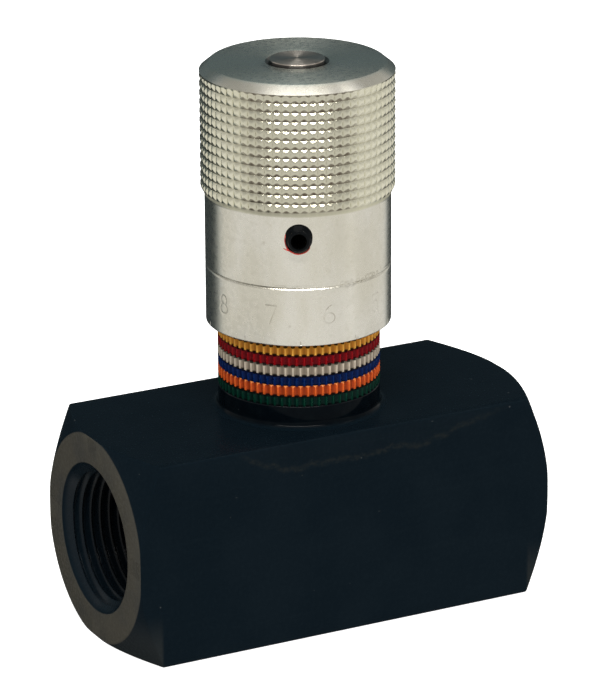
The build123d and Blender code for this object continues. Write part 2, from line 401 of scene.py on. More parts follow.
def cut(obj, cutter, sharp_angle=32):
    """Takes the cutter's solid out of the object's mesh and removes the cutter."""
    modifier = obj.modifiers.new("cut", "BOOLEAN")
    modifier.operation = "DIFFERENCE"
    modifier.solver = "EXACT"
    modifier.object = cutter
    bpy.context.view_layer.update()
    evaluated = obj.evaluated_get(bpy.context.evaluated_depsgraph_get())
    mesh = bpy.data.meshes.new_from_object(evaluated)
    mesh.set_sharp_from_angle(angle=radians(sharp_angle))
    obj.modifiers.clear()
    obj.data = mesh
    bpy.data.objects.remove(cutter)


def rod(name, start, end, radius, columns=72):
    """A plain cylinder between two points, used only to cut with."""
    start, end = Vector(start), Vector(end)
    run = end - start
    axis = run.normalized()
    turning = Turning(even_angles(columns), start, axis, axis.orthogonal().normalized())
    turning.rings([(0, 0), (0, radius), (run.length, radius), (run.length, 0)])
    return turned_object(name, turning)


def finish_piece(obj, body, node, material):
    obj.data.materials.clear()
    obj.data.materials.append(material)
    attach(obj, body)
    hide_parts(node)


# ---- body ----------------------------------------------------------------------------------
def bar_angles(flat_steps=40, corner_steps=5):
    """Angles round the port axis, crowded into the bar's four rounded edges."""
    corner_start = atan2(half_bar - bar_edge_radius, half_bar)
    flat = np.linspace(-corner_start, corner_start, flat_steps, endpoint=False)
    corner = np.linspace(corner_start, pi / 2 - corner_start, corner_steps, endpoint=False)
    quarter = np.concatenate([flat, corner])
    angles = np.concatenate([quarter + turn * pi / 2 for turn in range(4)])
    return angles - angles[0]


def bar_radius(angles):
    """Distance from the port axis to the bar's rounded square outline."""
    along = np.abs(np.cos(angles))
    across = np.abs(np.sin(angles))
    flat = half_bar / np.maximum(along, across)
    corner = half_bar - bar_edge_radius
    toward = (along + across) * corner
    arc = toward + np.sqrt(np.maximum(toward**2 - 2 * corner**2 + bar_edge_radius**2, 0))
    return np.where(flat * np.minimum(along, across) > corner, arc, flat)


def softer_minimum(one, other, softness):
    share = np.clip(0.5 + 0.5 * (other - one) / softness, 0, 1)
    return other + (one - other) * share - softness * share * (1 - share)


def thread_groove(phase, floor_width, slope, least=0.0):
    """Depth of a V groove at a phase of the pitch, 1 on its floor and least on the crest."""
    return np.clip(floor_width - slope * np.abs(phase - 0.5), least, 1.0)


def pipe_thread_radius(depth, phase):
    """The port's wall: a tapered internal V thread that the bevelled mouth runs into."""
    crest = port_radius - pipe_thread_height / 2 - depth * pipe_thread_taper
    groove = thread_groove((phase + pipe_thread_start) % 1.0, 1.15, 2.3, 0.06)
    bevel = port_mouth_radius - depth
    return np.maximum(crest + groove * pipe_thread_height, bevel)


def body_end(turning, side, radii, inward):
    """Rings of one end, from the drill point out to the bar's flats, or the other way."""
    bore_end_radius = port_radius - pipe_thread_height / 2 - port_depth * pipe_thread_taper
    drill_depth = port_depth + bore_end_radius / tan(drill_point_half_angle)
    cone_depth = np.maximum(radii - end_face_radius, 0) * tan(end_cone_angle)

    def outer_radius(depth):
        return softer_minimum(end_face_radius + depth / tan(end_cone_angle), radii, bar_edge_softness)

    def x_at(depth):
        return side * (half_length - depth)

    edge = body_edge_softness
    outer = [(0, port_mouth_radius + edge), (0, outer_radius(0) - edge)]
    for number, offset in enumerate(cone_edge_offsets):
        depth = np.maximum(edge * (number + 1), cone_depth + offset)
        outer.append((depth, outer_radius(depth)))
    outer.append((half_length / 6, radii))
    mouth = [(edge, port_mouth_radius - edge * 0.4)]
    inner = [(drill_depth, 0), (port_depth, bore_end_radius)]

    def cut_thread(start, end):
        turning.thread(x_at(start), x_at(end), pipe_thread_pitch, wall)

    def wall(x, phase):
        return pipe_thread_radius(half_length - side * x, phase)

    if inward:
        turning.rings((x_at(depth), radius) for depth, radius in outer[::-1] + mouth)
        cut_thread(2 * edge, port_depth)
        turning.rings((x_at(depth), radius) for depth, radius in inner[::-1])
    else:
        turning.rings((x_at(depth), radius) for depth, radius in inner)
        cut_thread(port_depth, 2 * edge)
        turning.rings((x_at(depth), radius) for depth, radius in mouth + outer)


def make_valve_body():
    angles = bar_angles()
    first_flat = -atan2(half_bar - bar_edge_radius, half_bar)
    radii = bar_radius(angles + first_flat)
    turning = Turning(angles, (0, 0, port_height), (1, 0, 0), (0, cos(first_flat), sin(first_flat)))
    body_end(turning, -1, radii, inward=False)
    body_end(turning, 1, radii, inward=True)
    body = turned_object("valve_body_shell", turning)
    cut(body, lathe("bore_cutter", bore_outline, 96))
    port_floor = half_length - port_depth
    low_start, low_end = low_passage
    passages = {
        "low_cutter": ((-port_floor, 0, low_start), (0, 0, low_end)),
        "high_cutter": ((0, 0, high_passage_height), (port_floor, 0, high_passage_height)),
    }
    for name, (start, end) in passages.items():
        cut(body, rod(name, start, end, passage_radius))
    return body


# ---- bonnet and bands ----------------------------------------------------------------------
def make_bonnet():
    fillet = foot_radius - neck_radius
    foot_top = body_top + foot_lip
    bend = [radians(angle) for angle in (15, 30, 45, 60, 75)]
    foot = [
        (foot_radius - fillet * sin(angle), foot_top + fillet * (1 - cos(angle))) for angle in bend
    ]
    clip_radius, clip_low, clip_high = clip_groove
    outline = softened([
        (foot_radius, foot_top),
        *foot,
        (neck_radius, foot_top + fillet),
        (neck_radius, collar_top),
        (spigot_radius, collar_top),
        (spigot_radius, clip_low),
        (clip_radius, clip_low),
        (clip_radius, clip_high),
        (spigot_radius, clip_high),
        (spigot_radius, bonnet_top - bonnet_chamfer),
        (spigot_radius - bonnet_chamfer, bonnet_top),
        (stem_thread_radius + fit_gap, bonnet_top),
        (stem_thread_radius + fit_gap, stop_height),
        (land_radius + fit_gap, stop_height),
        (land_radius + fit_gap, gallery_height),
        (bonnet_thread_radius - bonnet_chamfer, gallery_height),
        (bonnet_thread_radius, gallery_height + bonnet_chamfer),
        (bonnet_thread_radius, body_top),
        (foot_radius, body_top),
    ], reach=bonnet_corner_softness)
    return lathe("bonnet_shell", outline, 180, sharp_angle=50)


def make_band(index, colour):
    """A ring with hollow flutes round its rim and bevelled edges, set half a flute from the next."""
    samples = np.array([0, 0.085, 0.13, 0.22, 0.35, 0.5, 0.65, 0.78, 0.87, 0.915])
    pitch = 2 * pi / flute_count
    turns = np.arange(flute_count) - 0.5 + 0.5 * (index % 2)
    angles = ((turns[:, None] + samples) * pitch).ravel()
    across = np.tile((samples - 0.5) * pitch * neck_radius, flute_count)
    hollow = np.sqrt(np.maximum(flute_radius**2 - across**2, 0)) - flute_radius + flute_depth
    fluted = neck_radius - np.maximum(hollow, 0)
    floor = collar_top + index * band_height
    turning = Turning(angles)
    turning.ring(floor, spigot_radius + fit_gap)
    below, above = band_bevels
    for share in (0, 0.02, 0.045, 0.5, 0.82, 0.87, 0.92, 0.96, 1):
        corner = below * max(1 - share * band_height / below, 0) ** 1.3
        corner += above * max(1 - (1 - share) * band_height / above, 0) ** 1.3
        turning.ring(floor + share * band_height, np.minimum(fluted, neck_radius - corner))
    turning.ring(floor + band_height, spigot_radius + fit_gap)
    turning.close()
    return turned_object(f"fluted_band_{colour}", turning, sharp_angle=48)


# ---- stem ----------------------------------------------------------------------------------
def make_needle_stem():
    turning = Turning(even_angles(120))
    turning.rings((needle_tip + rise, radius) for rise, radius in needle_tapers)
    undercut_radius, undercut_length = undercut
    groove_top = groove_floor + groove_length
    thread_start = land_top + undercut_length
    thread_end = skirt_bore_top - 0.2
    turning.rings([
        (groove_floor - edge_break, land_radius),
        (groove_floor, land_radius - edge_break),
        (groove_floor, groove_radius),
        (groove_top, groove_radius),
        (groove_top, land_radius - edge_break),
        (groove_top + edge_break, land_radius),
        (land_top - edge_break, land_radius),
        (land_top, land_radius - edge_break),
        (land_top, undercut_radius),
        (thread_start, undercut_radius),
    ])

    def crest(height, phase):
        run_in = np.clip((height - thread_start) / stem_thread_run_in, 0, 1)
        groove = np.maximum(thread_groove(phase, 1.1, 2.3), 1 - run_in)
        return stem_thread_radius - stem_thread_height * groove

    turning.thread(thread_start, thread_end, stem_thread_pitch, crest)
    button_corner = [
        (button_top - button_bevel * (1 - sin(angle)), shank_radius - button_bevel * (1 - cos(angle)))
        for angle in (0, radians(25), radians(50), radians(75), radians(90))
    ]
    turning.rings([(thread_end, shank_radius), *button_corner, (button_top, 0)])
    return turned_object("needle_stem_turned", turning)


# ---- knob ----------------------------------------------------------------------------------
def arc(centre, radii, start, end, steps=10):
    """Points of an elliptic arc, in shares of a figure's box."""
    return [
        (centre[0] + radii[0] * cos(radians(angle)), centre[1] + radii[1] * sin(radians(angle)))
        for angle in np.linspace(start, end, steps)
    ]


def figure_strokes(figure):
    """Strokes of a plain figure, in a box from 0 to 1 both ways."""
    six = [
        arc((0.5, 0.29), (0.5, 0.29), 0, 360, 16),
        arc((0.85, 0.25), (0.85, 0.75), 180, 100, 8),
    ]
    strokes = {
        0: [arc((0.5, 0.5), (0.45, 0.5), 0, 360, 20)],
        1: [[(0.25, 0.8), (0.5, 1.0), (0.5, 0.0)]],
        2: [arc((0.5, 0.72), (0.46, 0.28), 160, -35) + [(0.03, 0.0), (1.0, 0.0)]],
        3: [arc((0.45, 0.75), (0.45, 0.25), 150, -90), arc((0.45, 0.25), (0.5, 0.25), 90, -150)],
        4: [[(0.75, 0.0), (0.75, 1.0), (0.0, 0.3), (1.0, 0.3)]],
        5: [[(0.9, 1.0), (0.15, 1.0), (0.1, 0.55)] + arc((0.45, 0.32), (0.5, 0.32), 130, -140)],
        6: six,
        7: [[(0.0, 1.0), (0.95, 1.0), (0.35, 0.0)]],
        8: [arc((0.5, 0.76), (0.38, 0.24), 0, 360, 16), arc((0.5, 0.26), (0.48, 0.26), 0, 360, 16)],
        9: [[(1 - x, 1 - y) for x, y in stroke] for stroke in six],
    }
    return strokes[figure]


def distance_to_stroke(across, up, stroke):
    """Distance from each point to a line of short segments."""
    nearest = np.full(across.shape, 1e3)
    for (x0, y0), (x1, y1) in zip(stroke, stroke[1:]):
        length = max((x1 - x0) ** 2 + (y1 - y0) ** 2, 1e-9)
        share = np.clip(((across - x0) * (x1 - x0) + (up - y0) * (y1 - y0)) / length, 0, 1)
        gap = np.hypot(across - x0 - share * (x1 - x0), up - y0 - share * (y1 - y0))
        nearest = np.minimum(nearest, gap)
    return nearest


def dial_bearings():
    """Bearing of each figure; the figures count down as the bearing grows."""
    for place in range(10):
        yield (dial_first_figure - place) % 10, dial_first_bearing + place * dial_step


def turn_gap(angles, bearing):
    """Signed smallest angle from the bearing."""
    return (angles - bearing + pi) % (2 * pi) - pi


def engraved_depth(angles, heights):
    """Depth of the dial's figures and ticks below the skirt, on a grid of heights by angles."""
    depth = np.zeros((len(heights), len(angles)))
    for figure, bearing in dial_bearings():
        across = turn_gap(angles, bearing) * skirt_radius
        columns = np.flatnonzero(np.abs(across) < figure_width)
        x, y = np.meshgrid(across[columns], heights - dial_height)
        for stroke in figure_strokes(figure):
            line = [((u - 0.5) * figure_width, (v - 0.5) * figure_height) for u, v in stroke]
            gap = distance_to_stroke(x, y, line)
            groove = stroke_depth * (1 - smooth_step(gap, 0.3 * stroke_half_width, stroke_half_width))
            depth[:, columns] = np.maximum(depth[:, columns], groove)
        tick = np.abs(turn_gap(angles, bearing + dial_step / 2)) * skirt_radius
        groove = stroke_depth * (1 - smooth_step(tick, 0.05, stroke_half_width))
        reach = 1 - smooth_step(heights, tick_top - 0.3, tick_top)
        depth = np.maximum(depth, reach[:, None] * groove[None, :])
    return depth


def dial_angles(coarse, parts=3):
    """The coarse angles, with parts steps in place of one wherever a figure or a tick stands."""
    steps = np.diff(coarse, append=2 * pi)
    middle = coarse + steps / 2
    near = np.zeros(len(coarse), bool)
    for _, bearing in dial_bearings():
        near |= np.abs(turn_gap(middle, bearing)) * skirt_radius < 0.75 * figure_width
        near |= np.abs(turn_gap(middle, bearing + dial_step / 2)) * skirt_radius < 0.5
    pieces = [
        angle + step * np.arange(parts if close else 1) / (parts if close else 1)
        for angle, step, close in zip(coarse, steps, near)
    ]
    return np.concatenate(pieces)


def uneven(angles, seed, lowest=2, highest=14):
    """A smooth wandering value between about -1 and 1 round the knob."""
    draw = np.random.default_rng(seed)
    total = np.zeros_like(angles)
    for waves in range(lowest, highest):
        total += draw.normal() * np.sin(waves * angles + draw.uniform(0, 2 * pi)) / sqrt(waves)
    return total / np.abs(total).max()


def scuff_depth(angles, height):
    """Small round dents in a row beside the scribed line, on one side of the knob."""
    draw = np.random.default_rng(scuff_seed)
    depth = np.zeros_like(angles)
    rim, middle = scuff_depths
    for number in range(scuff_count):
        bearing = screw_bearing + scuff_first_bearing + scuff_step * number + radians(draw.uniform(-1, 1))
        dent_height = scribed_line_height + 0.35 + draw.uniform(-0.3, 0.5)
        size = draw.uniform(0.25, 0.5)
        share = np.hypot(turn_gap(angles, bearing) * skirt_radius, height - dent_height) / size
        depth += rim * np.exp(-((share - 1) * 3) ** 2) - middle * np.exp(-(share * 2) ** 2)
    return depth


def groove_share(samples, rising, falling):
    """Depth of a knurl groove across one bump, 1 in the valley and 0 on the crest."""
    up = 1 - samples / rising
    down = 1 - (1 - samples) / falling
    return np.clip(np.maximum(up, down), 0, 1) ** knurl_curve


def make_knob():
    column_samples = np.array([0, 0.14, 0.28, 0.42, 0.58, 0.72, 0.86])
    row_samples = np.array([0, 0.17, 0.34, 0.5, 0.6, 0.74, 0.87])
    step = 2 * pi / flute_count
    angles = np.concatenate([(bump + column_samples) * step for bump in range(flute_count)])
    fine = dial_angles(angles)
    turning = Turning(angles)
    rim = skirt_rim_softness
    chamfer = skirt_bore_chamfer
    turning.rings([
        (skirt_bore_top, shank_hole_radius),
        (skirt_bore_top, skirt_bore_radius - chamfer),
        (skirt_bore_top - chamfer, skirt_bore_radius),
        (knob_bottom + chamfer, skirt_bore_radius),
        (knob_bottom, skirt_bore_radius + chamfer),
        (knob_bottom, skirt_radius - rim),
        (knob_bottom + 0.12 * rim, skirt_radius - 0.5 * rim),
        (knob_bottom + 0.45 * rim, skirt_radius - 0.12 * rim),
        (knob_bottom + rim, skirt_radius),
    ])
    # dial figures and ticks
    reach = 0.6 * figure_height
    heights = np.concatenate([
        np.linspace(knob_bottom + rim + 0.05, tick_top + 0.1, 6),
        np.linspace(dial_height - reach, dial_height + reach, 34),
    ])
    for height, depth in zip(heights, engraved_depth(fine, heights)):
        turning.ring(height, skirt_radius - depth, fine)
    # scribed line, uneven in depth, with a fainter one beside it
    strength = 0.72 + 0.28 * np.cos(angles - screw_bearing) + 0.08 * uneven(angles, line_seed)
    second = np.clip(uneven(angles, second_line_seed, 1, 5), 0, 1)
    second_rise, second_half_width, second_share = second_line
    for rise in np.linspace(*scribed_zone, 21):
        main = max(1 - abs(rise) / scribed_line_half_width, 0) * strength
        beside = second_share * second * np.exp(-((rise - second_rise) / second_half_width) ** 2)
        height = scribed_line_height + rise
        depth = scribed_line_depth * (main + beside) + scuff_depth(angles, height)
        turning.ring(height, skirt_radius - depth)
    clear_of_screw = screw_radius + 0.6
    turning.rings([
        (screw_height - clear_of_screw, skirt_radius),
        (screw_height + clear_of_screw, skirt_radius),
        (step_height - 0.2, skirt_radius),
        (step_height, skirt_radius),
    ])
    # step up to the knurled head
    head_step = head_radius - skirt_radius
    bevel_width, bevel_height = head_top_bevel
    knurl_low = step_height + head_step
    knurl_high = knob_top - bevel_height
    row_height = (knurl_high - knurl_low) / knurl_rows
    columns = groove_share(np.tile(column_samples, flute_count), knurl_column_side, knurl_column_side)
    for row in range(knurl_rows):
        for sample in row_samples:
            height = knurl_low + (row + sample) * row_height
            across = knurl_row_depth * groove_share(sample, *knurl_row_sides)
            fade = smooth_step(knurl_high - height, 0.0, 0.5)
            turning.ring(height, head_radius - fade * np.maximum(across, knurl_column_depth * columns))
    soft = head_edge_softness
    turning.rings([
        (knurl_high, head_radius),
        (knurl_high + 0.1, head_radius - soft),
        (knob_top - soft, head_radius - bevel_width + soft),
        (knob_top, head_radius - bevel_width - soft),
        (knob_top, 0.5 * head_radius),
        (knob_top, countersink_radius + 0.08),
        (knob_top - 0.1, countersink_radius - 0.04),
        (knob_top - shank_hole_countersink, shank_hole_radius),
    ])
    turning.close()
    knob = turned_object("knurled_knob", turning, sharp_angle=40)
    hole_end = Vector((0, 0, screw_height)) + screw_out * (head_radius + 2)
    cut(knob, rod("screw_cutter", (0, 0, screw_height), hole_end, screw_radius + fit_gap), 40)
    return knob


# ---- set screw -----------------------------------------------------------------------------
def make_set_screw():
    angles = even_angles(72)
    start = Vector((-sin(screw_bearing), cos(screw_bearing), 0))
    turning = Turning(angles, (0, 0, screw_height), screw_out, start)
    sixth = (angles + pi / 6) % (pi / 3) - pi / 6
    hexagon = socket_across_flats / 2 / np.cos(sixth)
    root = screw_radius - screw_thread_height
    end = screw_outer_end
    socket_floor = end - socket_depth
    thread_outer_end = end - screw_end_bevel
    thread_inner_end = screw_inner_end + screw_end_bevel

    def crest(along, phase):
        from_ends = np.minimum(thread_outer_end - along, along - thread_inner_end)
        height = np.minimum(1 - thread_groove(phase, 1.1, 2.2), from_ends / screw_thread_run_in)
        return root + screw_thread_height * np.clip(height, 0, 1)

    turning.rings([
        (socket_floor - 0.5, 0),
        (socket_floor, 0.85 * hexagon),
        (socket_floor + 0.2, hexagon),
        (end - screw_end_bevel, hexagon),
        (end, hexagon + screw_end_bevel),
        (end, root - 0.2),
        (end - 0.05, root - 0.06),
    ])
    turning.thread(thread_outer_end, thread_inner_end, screw_thread_pitch, crest)
    turning.rings([
        (screw_inner_end, root - screw_end_bevel),
        (screw_inner_end, screw_cup_radius),
        (screw_inner_end + screw_cup_depth, 0),
    ])
    return turned_object("set_screw_threaded", turning)


def tube(rows, corners=12):
    """Points and faces of a closed tube.  Each row gives a centre and two half widths, each with
    its direction."""
    points = []
    for centre, (wide, wide_way), (high, high_way) in rows:
        for corner in even_angles(corners):
            points.append(list(centre + wide_way * wide * cos(corner) + high_way * high * sin(corner)))
    faces = [list(range(corners)), list(range(len(points) - corners, len(points)))]
    for row in range(len(rows) - 1):
        for corner in range(corners):
            near, following = row * corners + corner, row * corners + (corner + 1) % corners
            faces.append([near, following, following + corners, near + corners])
    return points, faces


def make_nylon_patch():
    """The red nylon locking patch: it wraps part of the thread and has a curl pushed out at one side."""
    across = Vector((-sin(screw_bearing), cos(screw_bearing), 0))
    up = Vector((0, 0, 1))
    low, high = patch_reach

    def place(turn, along, radius):
        """A point beside the screw, and the direction out to it from the screw's axis."""
        outward = across * cos(turn) + up * sin(turn)
        return up * screw_height + screw_out * along + outward * radius, outward

    rows = []
    for share in np.linspace(0, 1, 48):
        swell = sin(pi * min(max(share, 0.02), 0.98)) ** 0.5
        ripple = 1 + sum(height * sin(phase * share) for height, phase in patch_ripples)
        thickness = patch_thickness * swell * ripple
        turn = patch_arc[0] + share * (patch_arc[1] - patch_arc[0])
        centre, outward = place(turn, (low + high) / 2, screw_radius + 0.3 * thickness)
        half_length_here = (high - low) / 2 * (0.8 + 0.2 * swell)
        rows.append((centre, (thickness, outward), (half_length_here, screw_out)))
    points, faces = tube(rows, 16)
    curl = []
    for share in np.linspace(0, 1, 14):
        turn = curl_bearing - curl_turn * share
        centre, _ = place(turn, high - 0.2 + 0.1 * share, screw_radius + 0.05 + curl_reach * share)
        width = curl_half_width * (1 - 0.6 * share)
        curl.append((centre, (width, across * sin(turn) - up * cos(turn)), (width, screw_out)))
    curl_points, curl_faces = tube(curl)
    faces += [[index + len(points) for index in face] for face in curl_faces]
    return mesh_object("nylon_patch", points + curl_points, faces, sharp_angle=60)


# ==== materials =============================================================================
class Signal:
    """A value that flows through a node tree.  Plain arithmetic on it adds the nodes."""

    def __init__(self, graph, socket):
        self.graph = graph
        self.socket = socket

    def __add__(self, other):
        return self.graph.math("ADD", self, other)

    def __mul__(self, other):
        return self.graph.math("MULTIPLY", self, other)

    def __sub__(self, other):
        return self.graph.math("SUBTRACT", self, other)

    def __rsub__(self, other):
        return self.graph.math("SUBTRACT", other, self)

    def __truediv__(self, other):
        return self.graph.math("DIVIDE", self, other)

    def __lt__(self, other):
        return self.graph.math("LESS_THAN", self, other)

    def __gt__(self, other):
        return self.graph.math("GREATER_THAN", self, other)

    def __abs__(self):
        return self.graph.math("ABSOLUTE", self)

    __radd__ = __add__
    __rmul__ = __mul__

    def span(self, low, high, to_low=0.0, to_high=1.0):
        """Runs smoothly from to_low to to_high as this value goes from low to high."""
        node = self.graph.add(
            "MapRange", {"interpolation_type": "SMOOTHSTEP"}, Value=self,
            From_Min=low, From_Max=high, To_Min=to_low, To_Max=to_high,
        )
        return Signal(self.graph, node.outputs[0])

    def between(self, start, full, still_full, end):
        """Rises smoothly from 0 to 1, stays there, and falls back to 0."""
        return self.span(start, full) * self.span(end, still_full)


class Graph:
    """A node tree made by plain calls.  Positions are millimetres in the object's own frame."""

    def __init__(self, tree):
        self.tree = tree
        tree.nodes.clear()

    def feed(self, socket, value):
        if isinstance(value, Signal):
            value = value.socket
        if isinstance(value, bpy.types.NodeSocket):
            self.tree.links.new(value, socket)
        elif value is not None:
            if isinstance(value, tuple) and len(value) == 3 and socket.type == "RGBA":
                value = (*value, 1.0)
            socket.default_value = value

    def add(self, kind, settings=None, **inputs):
        node = self.tree.nodes.new("ShaderNode" + kind)
        for name, value in (settings or {}).items():
            setattr(node, name, value)
        for name, value in inputs.items():
            self.feed(node.inputs[name.replace("_", " ")], value)
        return node

    def math(self, operation, *values, kind="Math", output=0):
        node = self.add(kind, {"operation": operation})
        for socket, value in zip(node.inputs, values):
            self.feed(socket, value)
        return Signal(self, node.outputs[output])

    def vector_math(self, operation, *values, output=0):
        return self.math(operation, *values, kind="VectorMath", output=output)

    def most(self, one, other):
        return self.math("MAXIMUM", one, other)

    def length(self, one, other):
        return self.math("SQRT", one * one + other * other)

    def mix(self, share, one, other):
        node = self.add("Mix", {"data_type": "RGBA"})
        for index, value in ((0, share), (6, one), (7, other)):
            self.feed(node.inputs[index], value)
        return Signal(self, node.outputs[2])

    def shades(self, cloud, dark, light):
        return self.mix(cloud.span(0.35, 0.65), dark, light)

    def parts(self, vector):
        node = self.add("SeparateXYZ", Vector=vector)
        return [Signal(self, output) for output in node.outputs]

    def position(self):
        """Place on the object in millimetres, as a vector and as its three parts."""
        place = self.stretch(self.add("TexCoord").outputs["Object"], (1 / MM,) * 3)
        return place, self.parts(place)

    def facing_up(self):
        """1 on surfaces that face up, 0 on upright ones and -1 on those that face down."""
        return self.parts(self.add("NewGeometry").outputs["Normal"])[2]

    def lathe_tangent(self):
        return self.add("Tangent", {"direction_type": "RADIAL", "axis": "Z"}).outputs[0]

    def vector(self, x, y, z):
        return self.add("CombineXYZ", X=x, Y=y, Z=z).outputs[0]

    def stretch(self, vector, scales):
        return self.vector_math("MULTIPLY", vector, scales)

    def noise(self, vector, scale, detail=3.0, roughness=0.55):
        node = self.add("TexNoise", Vector=vector, Scale=scale, Detail=detail, Roughness=roughness)
        return Signal(self, node.outputs[0])

    def specks(self, vector, scale, size, share):
        """Round specks in a share of the cells of a scattered grid."""
        node = self.add("TexVoronoi", {"feature": "F1"}, Vector=vector, Scale=scale)
        spot = Signal(self, node.outputs["Distance"]).span(size, size * 0.5)
        chance = self.add("SeparateColor", Color=node.outputs["Color"]).outputs[0]
        return spot * (Signal(self, chance) < share)

    def bump(self, height, depth, normal=None):
        """Bump whose height of 1 stands that many millimetres proud."""
        return self.add("Bump", Height=height, Distance=depth * MM, Strength=1.0, Normal=normal).outputs[0]


def new_material(name):
    material = bpy.data.materials.new(name)
    material.use_nodes = True
    return material, Graph(material.node_tree)


def finish_material(material, graph, **inputs):
    surface = graph.add("BsdfPrincipled", **inputs)
    graph.add("OutputMaterial", Surface=surface.outputs[0])
    return material


def black_oxide():
    """Blackened steel bar: milled flats, stained front edge, bare turned end faces."""
    material, graph = new_material("black_oxide_steel_look")
    place, (x, y, z) = graph.position()
    from_port_axis = graph.length(y, z - port_height)
    end_distance = half_length - abs(x)
    cloud = graph.noise(place, 0.09, 4.0)
    fine = graph.noise(place, 1.3, 4.0, 0.65)
    colour = graph.shades(cloud, (0.0031, 0.007, 0.0109), (0.0039, 0.0081, 0.0122))
    along_bar = graph.noise(graph.stretch(place, (0.04, 1.6, 1.6)), 1.0, 5.0, 0.7)
    colour = graph.mix(along_bar.span(0.5, 0.8, 0.0, 0.3), colour, (0.0065, 0.012, 0.0165))
    colour = graph.mix(fine.span(0.5, 0.8, 0.0, 0.2), colour, (0.0065, 0.012, 0.017))
    # a brownish tide mark on the front face: it dips below the neck and climbs back to the edge
    wander = graph.noise(graph.vector(x * 0.16, 0.0, 0.0), 1.0, 4.0, 0.6)
    dip = x.between(*tide_reach)
    tide = body_top + dip * -tide_depth + wander.span(0.25, 0.75, -0.9, 0.9)
    above_tide = z - tide
    mark = abs(above_tide).span(0.9, 0.1)
    streaky = graph.noise(graph.stretch(place, (0.9, 1.0, 1.2)), 1.0, 5.0, 0.7)
    mark = mark * streaky.span(0.36, 0.66, 0.1, 1.0)
    haze = above_tide.span(-0.4, 0.4) * streaky.span(0.3, 0.7, 0.2, 0.7)
    stain = graph.most(mark, haze * 0.14)
    stain = stain * ((y < -half_bar + 0.5) * dip.span(0.0, 0.5))
    colour = graph.mix(stain * 0.26, colour, (0.034, 0.034, 0.026))
    # dust and small scuffs
    dust = graph.specks(place, 0.42, 0.09, 0.13)
    scuff = graph.specks(graph.stretch(place, (0.25, 0.6, 0.9)), 0.7, 0.07, 0.10)
    marks = graph.most(dust, scuff)
    colour = graph.mix(marks * 0.25, colour, (0.16, 0.17, 0.17))
    # painted shade: the top flat is darker than the rolled sides
    top_flat = graph.facing_up().span(0.9, 0.98)
    colour = graph.mix(top_flat * 0.12, colour, (0.0, 0.0, 0.0))
    # the light hardly reaches down the threaded port
    in_port = from_port_axis.span(port_mouth_radius + 0.02, port_mouth_radius - 0.08)
    down_port = in_port * end_distance.span(1.0, 9.0)
    colour = graph.mix(down_port * 0.8, colour, (0.0006, 0.0008, 0.0012))
    # bare metal shows on the end faces; the cones are lighter near the bottom
    outside_port = from_port_axis.span(port_mouth_radius - 0.18, port_mouth_radius + 0.12)
    face = end_distance.span(0.14, 0.02) * outside_port
    ring_noise = graph.noise(graph.vector(from_port_axis * 3.0, 0.0, 0.0), 1.0, 4.0, 0.7)
    patch = graph.noise(place, 0.12, 4.0, 0.6)
    grit = graph.noise(place, 3.2, 4.0, 0.7)
    bare = graph.mix(patch.span(0.3, 0.6), (0.05, 0.05, 0.046), (0.068, 0.064, 0.052))
    bare = graph.mix(ring_noise.span(0.35, 0.7, 0.0, 0.45), bare, (0.04, 0.039, 0.034))
    bare = graph.mix(grit.span(0.35, 0.7, 0.35, 0.0), bare, (0.026, 0.025, 0.022))
    cone = from_port_axis.span(end_face_radius - 0.05, end_face_radius + 0.15)
    cone = cone * end_distance.span(4.6, 3.9)
    low_corner = cone * z.span(11.0, 3.0)
    colour = graph.mix(low_corner * 0.75, colour, (0.018, 0.021, 0.022))
    colour = graph.mix(face, colour, bare)
    rough = fine.span(0.3, 0.7, 0.2, 0.32)
    tooling = graph.noise(graph.stretch(place, (0.3, 4.0, 4.0)), 1.0, 3.0, 0.6)
    normal = graph.bump(tooling + fine * 0.8, 0.0012, graph.bump(ring_noise, 0.008))
    threaded = in_port * end_distance.span(0.1, 1.0)
    shine = top_flat.span(0.0, 1.0, 0.016, 0.012) + threaded * 0.1
    return finish_material(
        material, graph, Base_Color=colour, Roughness=rough, Normal=normal, Specular_IOR_Level=shine)


def glossy_black():
    """Smooth blackened bonnet."""
    material, graph = new_material("bonnet_black_look")
    place, (_, _, z) = graph.position()
    smear = graph.noise(place, 0.5, 4.0, 0.6)
    turned = graph.noise(graph.vector(0.0, 0.0, z * 6.0), 1.0, 2.0)
    dust = graph.specks(place, 0.7, 0.09, 0.12)
    colour = graph.mix(smear.span(0.4, 0.7), (0.001, 0.0023, 0.0038), (0.0018, 0.0036, 0.0052))
    colour = graph.mix(dust * 0.3, colour, (0.15, 0.15, 0.15))
    # the foot is as dull as the bar it meets; the collar's upper corner is polished by wear
    foot = z.span(body_top + 0.7, body_top + 0.1)
    colour = graph.mix(foot, colour, (0.0030, 0.0068, 0.0104))
    shine = z.span(body_top + 0.3, body_top + 0.5, 0.012, 0.036)
    shine = shine + z.span(collar_top - 0.22, collar_top - 0.08, 0.0, 0.09)
    return finish_material(
        material, graph, Base_Color=colour, Roughness=smear.span(0.35, 0.7, 0.07, 0.12),
        Specular_IOR_Level=shine, Normal=graph.bump(turned, 0.001))


